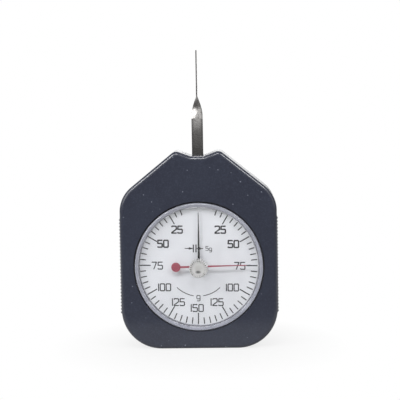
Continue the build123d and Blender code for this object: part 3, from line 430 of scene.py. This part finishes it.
# The real marks of brushing, turning and grinding are about 0.03 to 0.1 mm; they are drawn
# at 0.12 to 0.25 mm to show at all.
UPRIGHT = (1, 1, 0.06)                      # streaks that run up and down
UPRIGHT_FINE = (1, 1, 0.08)
ROUND = (0.1, 1, 0.1)                       # marks left square to the axis of a turned part
EVEN = (1, 1, 1)

FINISHES = {
    "case_moulding": moulded_abs(),
    "clear_acrylic": clear_acrylic(),
    "knob_acrylic": frosted_acrylic(),
    "seal_rubber": seal_rubber(),
    # stoved enamel: an even cool white with hardly any shine
    "dial_white": even_coat("enamel_cool_white_dial", "#d6d8db", "#dee0e3", 0.4, 0.5),
    # rolled brass, brushed: pale yellow with soft upright streaks
    "plate_brass": bare_metal("brass_brushed_plate", "#b39a5c", "#c9b27a", 0.25 * MM,
                              UPRIGHT, 0.28, 0.38),
    # brass from the lathe: a deeper yellow and a brighter shine
    "turned_brass": bare_metal("brass_turned", "#b08f4c", "#c8a867", 0.15 * MM,
                               ROUND, 0.2, 0.3),
    # bearing bronze: red-brown and duller than brass
    "bush_bronze": bare_metal("bronze_turned_bush", "#8a6638", "#a57f4d", 0.15 * MM,
                              ROUND, 0.28, 0.4),
    # nickel plate: a warm-white metal with a soft shine
    "screw_steel": bare_metal("steel_nickel_plated_screw", "#a4a4a8", "#bebec2", 0.2 * MM,
                              EVEN, 0.22, 0.34),
    # tempered strip: blue-grey with fine upright rolling marks
    "spring_steel": bare_metal("spring_steel_tempered", "#6b6f7c", "#858995", 0.2 * MM,
                               UPRIGHT_FINE, 0.25, 0.36),
    # ground shafting: light and nearly a mirror
    "shaft_steel": bare_metal("steel_ground_shaft", "#a9a9ad", "#c2c2c6", 0.12 * MM,
                              ROUND, 0.14, 0.22),
    # brushed mild steel: mid grey with soft upright streaks
    "lever_steel": bare_metal("steel_brushed_lever", "#8f9195", "#aaacb0", 0.25 * MM,
                              UPRIGHT, 0.28, 0.4),
    "feeler_steel": feeler_steel(),
    # gloss enamel: a deep black with small clear highlights
    "pointer_black": even_coat("enamel_gloss_black", "#060608", "#0b0b0e", 0.12, 0.2),
    "peak_red": peak_hand_enamel(),
}
# screen-printed ink: a flat black that dries matt
INK = even_coat("screen_ink_black", "#08080b", "#101014", 0.45, 0.6, 0.3 * MM)


def finish_nodes():
    """Give each node of the assembly the finish of its material slot."""
    for entry in frame["record"]["subparts"]:
        mesh = nodes[entry["node"]].data
        mesh.materials.clear()
        mesh.materials.append(FINISHES[entry["material_slot"]])


# ---- printed scale of the dial
def on_dial(x, z):
    """Point of the print on the dial's face, from the middle of the scale."""
    turned = Matrix.Rotation(PRINT_TURN, 3, "Y") @ Vector((x, 0, z))
    return Vector((turned.x + PRINT_SHIFT.x, DIAL_FACE_Y, DIAL_Z + turned.z + PRINT_SHIFT.y))


def printed(name, bm):
    """Turn a bmesh of ink into a piece that rides with the case."""
    bmesh.ops.recalc_face_normals(bm, faces=bm.faces)
    mesh = bpy.data.meshes.new(name)
    bm.to_mesh(mesh)
    bm.free()
    mesh.materials.append(INK)
    piece = bpy.data.objects.new(name, mesh)
    bpy.context.scene.collection.objects.link(piece)
    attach(piece, "case")


def ink_bar(bm, start, end, width):
    """A straight printed line between two points, each (x, z) from the middle of the scale."""
    a = Vector(start)
    b = Vector(end)
    along = b - a
    turn = Matrix.Rotation(atan2(along.x, along.y) + PRINT_TURN, 4, "Y")
    middle = on_dial(*((a + b) / 2))
    middle.y -= PRINT_T / 2
    size = Matrix.Diagonal((width, PRINT_T, along.length, 1))
    bmesh.ops.create_cube(bm, size=1.0, matrix=Matrix.Translation(middle) @ turn @ size)


def make_ticks():
    bm = bmesh.new()
    for angle in range(FIRST_TICK, 360 - FIRST_TICK + 1, TICK_STEP):
        major = angle % MAJOR_EVERY == 0
        inner = MAJOR_INNER_R if major else MINOR_INNER_R
        away = Vector((sin(radians(angle)), cos(radians(angle))))
        ink_bar(bm, away * inner, away * TICK_OUTER_R, MAJOR_W if major else MINOR_W)
    printed("dial_ticks", bm)


# strokes of squared numerals in a box one unit wide and one unit tall
NUMERALS = {
    "0": [(0.12, 0), (0.88, 0), (1, 0.1), (1, 0.9), (0.88, 1), (0.12, 1), (0, 0.9), (0, 0.1),
          (0.12, 0)],
    "1": [(0.45, 1), (0.45, 0)],
    "2": [(0, 0.9), (0.1, 1), (0.9, 1), (1, 0.9), (1, 0.55), (0.05, 0.1), (0, 0), (1, 0)],
    "5": [(0.95, 1), (0.05, 1), (0, 0.55), (0.88, 0.55), (1, 0.45), (1, 0.1), (0.88, 0),
          (0.1, 0), (0, 0.08)],
    "7": [(0, 1), (1, 1), (0.4, 0)],
    "g": [(1, 0.05), (0.9, 0), (0.15, 0), (0, 0.12), (0, 0.5), (0.15, 0.62), (0.85, 0.62),
          (1, 0.5), (1, -0.25), (0.85, -0.37), (0.1, -0.37)],
}
ONE_MIDDLE = 0.45                           # where the 1 stands in its box
ONE_W = 0.05                                # width that a 1 takes up, of a full numeral


def ink_number(bm, text, centre, height=NUMERAL_H, width=NUMERAL_W, stroke=NUMERAL_STROKE):
    """Upright number whose middle is at centre."""
    widths = [width * (ONE_W if character == "1" else 1.0) for character in text]
    gap = NUMERAL_GAP * height / NUMERAL_H
    x = centre[0] - (sum(widths) + gap * (len(text) - 1)) / 2
    z = centre[1] - height / 2
    for character, wide in zip(text, widths):
        left = x - (width - wide) * ONE_MIDDLE
        places = [Vector((left + px * width, z + pz * height))
                  for px, pz in NUMERALS[character]]
        for start, end in zip(places, places[1:]):
            reach = (end - start).normalized() * stroke * STROKE_OVERRUN
            ink_bar(bm, start - reach, end + reach, stroke)
        x += wide + gap


def make_numbers():
    bm = bmesh.new()
    for text, x, z, stroke in (
            ("25", -8.45, 14.3, BOLD_STROKE), ("25", 8.65, 14.3, BOLD_STROKE),
            ("50", -14.05, 8.65, BOLD_STROKE), ("50", 13.85, 8.6, BOLD_STROKE),
            ("75", -16.35, -0.1, NUMERAL_STROKE), ("75", 16.4, -0.1, NUMERAL_STROKE),
            ("100", -13.5, -8.8, NUMERAL_STROKE), ("100", 13.5, -8.8, NUMERAL_STROKE),
            ("125", -8.0, -14.75, NUMERAL_STROKE), ("125", 7.4, -14.7, NUMERAL_STROKE),
            ("150", -0.5, -17.1, NUMERAL_STROKE)):
        ink_number(bm, text, (x * MM, z * MM), stroke=stroke)
    printed("dial_numbers", bm)


def make_zone_mark():
    """Arrows to the two bars that show how far the hand moves for the smallest reading."""
    bm = bmesh.new()
    for x in (-2.0, -0.95):
        ink_bar(bm, (x * MM, ZONE_Z - ZONE_BAR_HALF), (x * MM, ZONE_Z + ZONE_BAR_HALF),
                ZONE_STROKE)
    for start, end in ((-5.4, -2.4), (-0.6, 1.9)):
        ink_bar(bm, (start * MM, ZONE_Z), (end * MM, ZONE_Z), ARROW_STROKE)
    # an arrow's head is a row of bars that grow away from its tip
    for tip, tail in ((-2.3, -3.8), (-0.65, 0.85)):
        for part in range(ARROW_STEPS):
            share = (part + 0.5) / ARROW_STEPS
            x = (tip + (tail - tip) * share) * MM
            half = (ARROW_TIP_HALF + ARROW_FLARE * share) * MM
            ink_bar(bm, (x, ZONE_Z - half), (x, ZONE_Z + half), 0.4 * MM)
    ink_number(bm, "5g", (4.1 * MM, ZONE_Z), 1.6 * MM, 1.0 * MM, 0.24 * MM)
    printed("dial_zone_mark", bm)


def make_arc_line():
    """Plain printed arc under the hub, broken by the unit of the scale."""
    bm = bmesh.new()
    for side in (-1, 1):
        angles = [radians(180 + side * (ARC_START + ARC_SPAN * i / ARC_STEPS))
                  for i in range(ARC_STEPS + 1)]
        places = [(ARC_R * sin(a), ARC_R * cos(a)) for a in angles]
        for start, end in zip(places, places[1:]):
            ink_bar(bm, start, end, FINE_STROKE)
    ink_number(bm, "g", (0, -ARC_R), 2.2 * MM, 1.3 * MM, FINE_STROKE)
    printed("dial_arc_line", bm)


# ---- studio
def make_floor():
    """A matt pale floor. The camera sees it as white, but for the object's shadow."""
    bm = bmesh.new()
    bmesh.ops.create_grid(bm, x_segments=1, y_segments=1, size=FLOOR_HALF)
    bmesh.ops.translate(bm, verts=bm.verts, vec=(0, FLOOR_HALF - FLOOR_AHEAD, 0))
    mesh = bpy.data.meshes.new("studio_floor")
    bm.to_mesh(mesh)
    bm.free()
    floor = bpy.data.objects.new("studio_floor", mesh)
    bpy.context.scene.collection.objects.link(floor)
    material, tree = new_material("studio_floor_white")
    matt = add(tree, "ShaderNodeBsdfDiffuse", {"Color": rgb("#c4c4c4")})
    glow = add(tree, "ShaderNodeEmission", {"Color": rgb("#ffffff"), "Strength": 1.0})
    ray = add(tree, "ShaderNodeLightPath")
    place = add(tree, "ShaderNodeTexCoord")
    away = add(tree, "ShaderNodeVectorMath", {"operation": "LENGTH"},
               i0=place.outputs["Object"])
    faded = add(tree, "ShaderNodeMapRange", onto(0.8, 1.0, SHADOW_FROM, SHADOW_TO),
                Value=away.outputs["Value"])
    share = add(tree, "ShaderNodeMath", {"operation": "MULTIPLY"},
                i0=ray.outputs["Is Camera Ray"], i1=faded.outputs["Result"])
    mix = add(tree, "ShaderNodeMixShader", i0=share.outputs["Value"],
              i1=matt.outputs["BSDF"], i2=glow.outputs["Emission"])
    finish_material(tree, mix.outputs["Shader"])
    mesh.materials.append(material)


def make_world():
    """White to the camera and through clear pieces; a dimmer light on everything else."""
    world = bpy.data.worlds.new("studio")
    bpy.context.scene.world = world
    world.use_nodes = True
    tree = world.node_tree
    tree.nodes.clear()
    ray = add(tree, "ShaderNodeLightPath")
    seen = add(tree, "ShaderNodeMath", {"operation": "MAXIMUM"},
               i0=ray.outputs["Is Camera Ray"], i1=ray.outputs["Is Transmission Ray"])
    place = add(tree, "ShaderNodeTexCoord")
    axes = add(tree, "ShaderNodeSeparateXYZ", Vector=place.outputs["Generated"])
    # for gloss: white straight behind and low down, and a room that darkens under eye level
    behind = add(tree, "ShaderNodeMapRange", onto(0.0, 1.0, 0.6, 0.9), Value=axes.outputs["Y"])
    below = add(tree, "ShaderNodeMapRange", onto(1.0, 0.0, -0.5, -0.15),
                Value=axes.outputs["Z"])
    room = add(tree, "ShaderNodeMapRange", onto(0.09, 0.28, -0.045, 0.0),
               Value=axes.outputs["Z"])
    backdrop = add(tree, "ShaderNodeMath", {"operation": "MAXIMUM"},
                   i0=behind.outputs["Result"], i1=below.outputs["Result"])
    around = add(tree, "ShaderNodeMath", {"operation": "MAXIMUM"},
                 i0=backdrop.outputs["Value"], i1=room.outputs["Result"])
    mirrored = add(tree, "ShaderNodeMath", {"operation": "MULTIPLY"},
                   i0=ray.outputs["Is Glossy Ray"], i1=around.outputs["Value"])
    white = add(tree, "ShaderNodeMath", {"operation": "MAXIMUM"},
                i0=seen.outputs["Value"], i1=mirrored.outputs["Value"])
    other = add(tree, "ShaderNodeMath", {"operation": "SUBTRACT", 0: 1.0},
                i1=ray.outputs["Is Glossy Ray"])
    plain = add(tree, "ShaderNodeMath", {"operation": "MULTIPLY", 1: ROOM_LIGHT},
                i0=other.outputs["Value"])
    level = add(tree, "ShaderNodeMath", {"operation": "MAXIMUM"},
                i0=white.outputs["Value"], i1=plain.outputs["Value"])
    sky = add(tree, "ShaderNodeBackground", {"Color": rgb("#ffffff")},
              Strength=level.outputs["Value"])
    add(tree, "ShaderNodeOutputWorld", Surface=sky.outputs["Background"])


def make_soft_box(name, place, width, height, power, aim):
    lamp = bpy.data.lights.new(name, "AREA")
    lamp.shape = "RECTANGLE"
    lamp.size = width
    lamp.size_y = height
    lamp.energy = power
    box = bpy.data.objects.new(name, lamp)
    box.location = place
    box.rotation_euler = (Vector(aim) - Vector(place)).to_track_quat("-Z", "Y").to_euler()
    bpy.context.scene.collection.objects.link(box)


def make_camera():
    camera = bpy.data.cameras.new("camera")
    camera.lens = CAMERA_LENS
    camera.sensor_width = CAMERA_SENSOR
    view = bpy.data.objects.new("camera", camera)
    back = Vector((sin(CAMERA_AZIMUTH) * cos(CAMERA_ELEVATION),
                   -cos(CAMERA_AZIMUTH) * cos(CAMERA_ELEVATION), sin(CAMERA_ELEVATION)))
    turn = (-back).to_track_quat("-Z", "Y").to_matrix().to_4x4()
    roll = Matrix.Rotation(-CAMERA_ROLL, 4, "Z")
    view.matrix_world = Matrix.Translation(CAMERA_TARGET + back * CAMERA_DISTANCE) @ turn @ roll
    bpy.context.scene.collection.objects.link(view)
    bpy.context.scene.camera = view


finish_nodes()
make_ticks()
make_numbers()
make_zone_mark()
make_arc_line()
make_floor()
make_world()
for soft_box in SOFT_BOXES:
    make_soft_box(*soft_box)
make_camera()
bpy.context.scene.view_settings.view_transform = "Standard"
